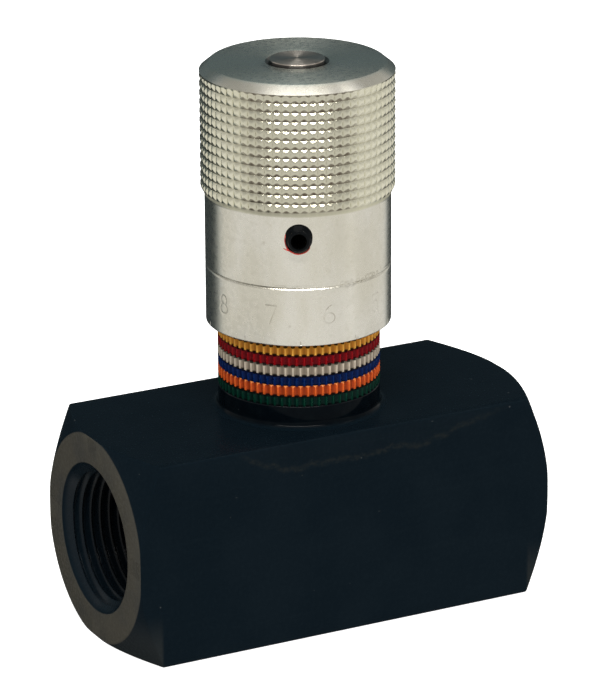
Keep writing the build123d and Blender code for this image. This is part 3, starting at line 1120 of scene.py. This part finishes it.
def turned_aluminium():
    """Turned skirt and face, knurled head with grime in its valleys and painted shade on its lower facets."""
    material, graph = new_material("aluminium_look")
    place, (x, y, z) = graph.position()
    radius = graph.length(x, y)
    rings = graph.noise(graph.vector(radius * 5.0, 0.0, z * 5.0), 1.0, 3.0, 0.6)
    fine_rings = graph.noise(graph.vector(radius * 24.0, 0.0, z * 24.0), 1.0, 2.0)
    cloud = graph.noise(graph.stretch(place, (1.0, 1.0, 0.45)), 0.16, 4.0, 0.55)
    mottle = graph.noise(place, 1.1, 4.0, 0.65)
    colour = graph.shades(cloud, (0.67, 0.645, 0.555), (0.73, 0.71, 0.64))
    colour = graph.mix(mottle.span(0.52, 0.75, 0.0, 0.35), colour, (0.52, 0.49, 0.4))
    stains = graph.specks(place, 0.32, 0.16, 0.13)
    colour = graph.mix(stains * 0.28, colour, (0.28, 0.24, 0.18))
    head = z.span(step_height - 0.1, step_height + 0.3)
    side = z < knob_top - head_top_bevel[1]
    knurled = head * side
    valley = (head_radius - radius).span(0.1, 0.34) * knurled
    colour = graph.mix(valley * 0.25, colour, (0.2, 0.175, 0.125))
    colour = graph.mix(knurled * 0.5, colour, (0.8, 0.78, 0.57))
    above_step = z.span(step_height + 0.8, step_height + 1.1)
    underside = graph.facing_up().span(-0.14, -0.34) * (above_step * side)
    # painted shade on the knurl: its down-facing facets are darkened, least about 50 degrees to either side of the
    # screw, and the knurl facing the screw is darkened too
    from_screw = graph.math("COSINE", graph.math("ARCTAN2", y, x) - screw_bearing)
    from_screw = graph.math("ARCCOSINE", from_screw * 0.999)
    facet_shade = graph.most(from_screw.span(0.8, 0.42), from_screw.span(0.95, 1.15))
    facet_shade = facet_shade.span(0.0, 1.0, 0.18, 1.0) * mottle.span(0.35, 0.65, 0.6, 0.95)
    front_knurl_shade = knurled * from_screw.span(0.72, 0.4)
    colour = graph.mix(front_knurl_shade * 0.42, colour, (0.38, 0.365, 0.295))
    colour = graph.mix(underside * facet_shade, colour, (0.095, 0.07, 0.048))
    engraved = (skirt_radius - radius).span(0.015, 0.07) * (1.0 - head)
    engraved = engraved * (radius > skirt_radius - 0.3)
    scribed = abs(z - scribed_line_height).span(0.5, 0.3)
    faded = graph.noise(place, 0.45, 3.0).span(0.42, 0.58, 0.12, 0.5)
    faded = faded * scribed.span(0.0, 1.0, 1.0, 0.6)
    colour = graph.mix(engraved * faded, colour, (0.22, 0.19, 0.14))
    colour = graph.mix((z > knob_top - 0.3) * 0.6, colour, (0.62, 0.64, 0.57))
    # painted shade: the countersink and the hole round the stem are painted near black
    countersink_shade = radius.span(countersink_radius + 0.06, countersink_radius - 0.04)
    countersink_shade = countersink_shade * (z > skirt_bore_top + 1.0)
    colour = graph.mix(countersink_shade * 0.85, colour, (0.03, 0.03, 0.03))
    rough = mottle.span(0.3, 0.7, 0.25, 0.33) + above_step * side * -0.07
    rough = rough + (head - above_step) * 0.25
    grooves_cut = graph.most(knurled, engraved)
    stretched = grooves_cut.span(0.0, 1.0, 0.75, 0.0)
    normal = graph.bump(fine_rings, 0.0002, graph.bump(rings + mottle * 0.1, 0.001))
    return finish_material(
        material, graph, Base_Color=colour, Metallic=1.0, Roughness=rough, Normal=normal,
        Anisotropic=stretched, Anisotropic_Rotation=0.25, Tangent=graph.lathe_tangent(),
    )


def painted_band(name, bright, flute_shade, edge=band_shade, edge_height=0.30, edge_shine=0.01):
    """A coloured fluted ring with painted shade in its flutes and between it and the next."""
    material, graph = new_material(f"band_{name}_look")
    place, (x, y, z) = graph.position()
    radius = graph.length(x, y)
    below_crest = neck_radius - radius
    mottle = graph.noise(place, 1.6, 4.0, 0.6)
    # painted shade: the colour darkens from the crests into the flutes and is darkest on their floors
    worn = mottle.span(0.35, 0.65, 0.0, 0.35)
    depth = below_crest.span(0.02, 0.34) + worn
    colour = graph.mix(graph.math("MINIMUM", depth, 1.0), bright, flute_shade)
    colour = graph.mix(below_crest.span(0.34, 0.46) * 0.45, colour, tuple(0.3 * part for part in flute_shade))
    # painted shade on the ridges' upper edges, the flutes' lower ends and the flat faces between rings; on the
    # orange ring the upper edges are a lighter orange with more shine instead
    share = graph.math("FRACT", (z - collar_top) / band_height)
    from_floor = share * band_height
    from_top = band_height - from_floor
    facing = graph.facing_up()
    upper = from_top.span(edge_height + 0.06, edge_height - 0.06) * below_crest.span(0.42, 0.32)
    upper = graph.most(upper, facing.span(0.3, 0.6))
    colour = graph.mix(upper * 0.94, colour, edge)
    lower = from_floor.span(0.36, 0.04) * below_crest.span(0.12, 0.32)
    lower = graph.most(lower, facing.span(-0.3, -0.6))
    colour = graph.mix(lower * 0.92, colour, band_shade)
    shine = upper.span(0.0, 1.0, 0.06, edge_shine) * lower.span(0.0, 1.0, 1.0, 0.15)
    grain = graph.noise(place, 7.0, 3.0)
    return finish_material(
        material, graph, Base_Color=colour, Specular_IOR_Level=shine,
        Roughness=mottle.span(0.3, 0.7, 0.2, 0.32), Normal=graph.bump(grain, 0.003))


def turned_steel():
    """Stainless stem, faced on the lathe."""
    material, graph = new_material("stainless_steel_look")
    place, (x, y, z) = graph.position()
    radius = graph.length(x, y)
    rings = graph.noise(graph.vector(radius * 9.0, 0.0, z * 9.0), 1.0, 3.0, 0.65)
    cloud = graph.noise(place, 0.5, 3.0)
    colour = graph.shades(cloud, (0.4, 0.355, 0.31), (0.49, 0.44, 0.39))
    # its wall above the knob's face is in the shade of the countersink
    colour = graph.mix(graph.facing_up().span(0.35, 0.15), colour, (0.09, 0.085, 0.08))
    return finish_material(
        material, graph, Base_Color=colour, Metallic=1.0, Roughness=rings.span(0.3, 0.7, 0.28, 0.36),
        Normal=graph.bump(rings, 0.001), Anisotropic=0.97, Anisotropic_Rotation=0.25,
        Tangent=graph.lathe_tangent())


def black_screw():
    """Blackened set screw, with painted shade in its socket."""
    material, graph = new_material("black_screw_look")
    place, _ = graph.position()
    offset = graph.vector_math("SUBTRACT", place, (0, 0, screw_height))
    lever = graph.vector_math("CROSS_PRODUCT", offset, screw_out)
    from_axis = graph.vector_math("LENGTH", lever, output="Value")
    socket = from_axis.span(1.5, 1.36)
    cloud = graph.noise(place, 1.2, 4.0)
    colour = graph.shades(cloud, (0.0012, 0.0018, 0.0024), (0.0024, 0.0032, 0.004))
    # painted shade: the socket is near black and without shine
    colour = graph.mix(socket, colour, (0.0008, 0.0008, 0.0008))
    return finish_material(
        material, graph, Base_Color=colour, Roughness=cloud.span(0.3, 0.7, 0.16, 0.28),
        Specular_IOR_Level=socket.span(0.0, 1.0, 0.07, 0.0), Normal=graph.bump(cloud, 0.01))


def simple_finish(name, dark, light, scale, depth, rough, **surface):
    """A colour that wanders between two shades, with grain to match."""
    material, graph = new_material(name)
    place, _ = graph.position()
    cloud = graph.noise(place, scale, 4.0)
    grain = graph.noise(place, scale * 6, 4.0, 0.65)
    return finish_material(
        material, graph, Base_Color=graph.shades(cloud, dark, light),
        Roughness=grain.span(0.3, 0.7, rough - 0.06, rough + 0.08),
        Normal=graph.bump(grain, depth), **surface)


# ==== pieces ================================================================================
body_look = black_oxide()
bonnet_look = glossy_black()
aluminium_look = turned_aluminium()
stem_look = turned_steel()
screw_look = black_screw()
nylon_look = simple_finish(
    "red_nylon_look", (0.36, 0.010, 0.010), (0.55, 0.020, 0.016), 1.5, 0.02, 0.42, Subsurface_Weight=0.1)
rubber_look = simple_finish(
    "nitrile_rubber_look", (0.010, 0.010, 0.011), (0.020, 0.020, 0.021), 1.0, 0.01, 0.5)
ptfe_look = simple_finish("ptfe_look", (0.78, 0.78, 0.75), (0.86, 0.86, 0.84), 0.8, 0.008, 0.35)
spring_look = simple_finish(
    "spring_steel_look", (0.10, 0.10, 0.11), (0.18, 0.18, 0.19), 1.0, 0.006, 0.35, Metallic=1.0)
brass_look = simple_finish(
    "brass_look", (0.60, 0.42, 0.16), (0.74, 0.54, 0.24), 1.0, 0.006, 0.3, Metallic=1.0)
band_looks = {
    "green": painted_band("green", (0.002, 0.029, 0.017), (0.001, 0.013, 0.010)),
    "orange": painted_band(
        "orange", (0.66, 0.115, 0.022), (0.34, 0.045, 0.010), edge=(0.66, 0.20, 0.05), edge_height=0.16,
        edge_shine=0.14),
    "blue": painted_band("blue", (0.002, 0.016, 0.090), (0.001, 0.008, 0.052)),
    "white": painted_band("white", (0.54, 0.47, 0.385), (0.25, 0.21, 0.165)),
    "red": painted_band("red", (0.24, 0.004, 0.007), (0.13, 0.003, 0.006)),
    "yellow": painted_band("yellow", (0.92, 0.46, 0.080), (0.56, 0.23, 0.028), edge_height=0.50),
}

finish_piece(make_valve_body(), "housing", "valve_body", body_look)
finish_piece(make_bonnet(), "housing", "bonnet", bonnet_look)
for band_number, band_colour in enumerate(band_colours):
    finish_piece(
        make_band(band_number, band_colour), "housing", f"band_{band_colour}",
        band_looks[band_colour],
    )
finish_piece(make_needle_stem(), "knob_and_stem", "needle_stem", stem_look)
finish_piece(make_knob(), "knob_and_stem", "knob", aluminium_look)
set_screw_piece = make_set_screw()
nylon_patch_piece = make_nylon_patch()
finish_piece(set_screw_piece, "lock_screw", "set_screw", screw_look)
finish_piece(nylon_patch_piece, "lock_screw", "nylon_pellet", nylon_look)
# the brushed skirt shows no image of the screw that stands out of it
set_screw_piece.visible_glossy = False
nylon_patch_piece.visible_glossy = False

inside_looks = {
    "bonnet_o_ring": rubber_look,
    "stem_o_ring": rubber_look,
    "stem_backup_ring_lower": ptfe_look,
    "stem_backup_ring_upper": ptfe_look,
    "band_retaining_ring": spring_look,
    "screw_pad": brass_look,
}
for node, look in inside_looks.items():
    materials = frame["nodes"][node].data.materials
    materials.clear()
    materials.append(look)


# ==== stage =================================================================================
def make_floor():
    """A white floor that only the camera sees, so that the light stays that of the studio."""
    reach = 4.0
    corners = [(-reach, -reach, 0), (reach, -reach, 0), (reach, reach, 0), (-reach, reach, 0)]
    mesh = bpy.data.meshes.new("floor")
    mesh.from_pydata(corners, [], [(0, 1, 2, 3)])
    floor = bpy.data.objects.new("floor", mesh)
    bpy.context.scene.collection.objects.link(floor)
    floor.location.z = -0.0001
    material, graph = new_material("floor_white")
    both = graph.add("AddShader")
    graph.feed(both.inputs[0], graph.add("BsdfDiffuse", Color=(0.9, 0.9, 0.9)).outputs[0])
    graph.feed(both.inputs[1], graph.add("Emission", Color=(1.0, 1.0, 1.0), Strength=0.8).outputs[0])
    graph.add("OutputMaterial", Surface=both.outputs[0])
    mesh.materials.append(material)
    for kind in ("visible_diffuse", "visible_glossy", "visible_transmission", "visible_shadow"):
        setattr(floor, kind, False)


def make_world():
    """A light tent that turns with the camera: bright before and beside the object, dim behind it,
    with a softbox overhead.  The camera itself sees plain white."""
    world = bpy.data.worlds.new("studio")
    bpy.context.scene.world = world
    world.use_nodes = True
    graph = Graph(world.node_tree)
    coordinates = graph.add("TexCoord")
    lateral, _, away = graph.parts(coordinates.outputs["Camera"])
    height = graph.parts(coordinates.outputs["Generated"])[2]
    toward = away * -1.0
    azimuth = graph.math("ARCTAN2", lateral, toward) * degrees(1.0)
    elevation = graph.math("ARCSINE", height) * degrees(1.0)
    front = azimuth.between(*front_azimuths)
    level = elevation.span(-20.0, 60.0, 0.86, 0.42)
    back = elevation.span(-12.0, 12.0, 0.04, 0.14) + elevation.span(30.0, 75.0, 0.0, 0.3)
    tent = front * level + (1.0 - front) * back + azimuth.between(*window_azimuths) * window_strength
    # the softbox and the bright tube in it lie across the line of sight, above and before the object
    before = (toward + height * -sin(view_elevation)) / cos(view_elevation)
    rise = graph.math("ARCTAN2", height, before) * degrees(1.0)
    softbox = rise.between(*softbox_rises) * softbox_strength + rise.between(*tube_rises) * tube_strength
    softbox = lateral.between(*softbox_width) * softbox
    side_box = azimuth.between(*side_box_azimuths) * elevation.between(*side_box_elevations)
    overhead = elevation.span(50.0, 75.0) * overhead_strength
    strength = tent + overhead + (softbox + side_box * side_box_strength)
    is_camera = graph.add("LightPath").outputs["Is Camera Ray"]
    tint = graph.mix(front, back_tint, front_tint)
    colour = graph.mix(is_camera, tint, (1.0, 1.0, 1.0))
    shown = graph.add("Mix", {"data_type": "FLOAT"})
    for index, value in ((0, is_camera), (2, strength), (3, backdrop_strength)):
        graph.feed(shown.inputs[index], value)
    background = graph.add("Background", Color=colour, Strength=shown.outputs[0])
    graph.add("OutputWorld", Surface=background.outputs[0])


def make_camera():
    sight = Vector((
        sin(view_azimuth) * cos(view_elevation),
        -cos(view_azimuth) * cos(view_elevation),
        sin(view_elevation),
    ))
    level_right = Vector((0, 0, 1)).cross(sight).normalized()
    level_up = sight.cross(level_right)
    right = cos(view_roll) * level_right + sin(view_roll) * level_up
    up = cos(view_roll) * level_up - sin(view_roll) * level_right
    place = Vector(view_aim) + view_shift[0] * right + view_shift[1] * up + view_distance * sight
    data = bpy.data.cameras.new("camera")
    data.lens = focal_length
    data.sensor_width = sensor_size
    data.clip_end = 20.0
    camera = bpy.data.objects.new("camera", data)
    bpy.context.scene.collection.objects.link(camera)
    camera.matrix_world = Matrix.Translation(place * MM) @ Matrix((right, up, sight)).transposed().to_4x4()
    bpy.context.scene.camera = camera


make_floor()
make_world()
make_camera()
bpy.context.scene.view_settings.view_transform = "Standard"
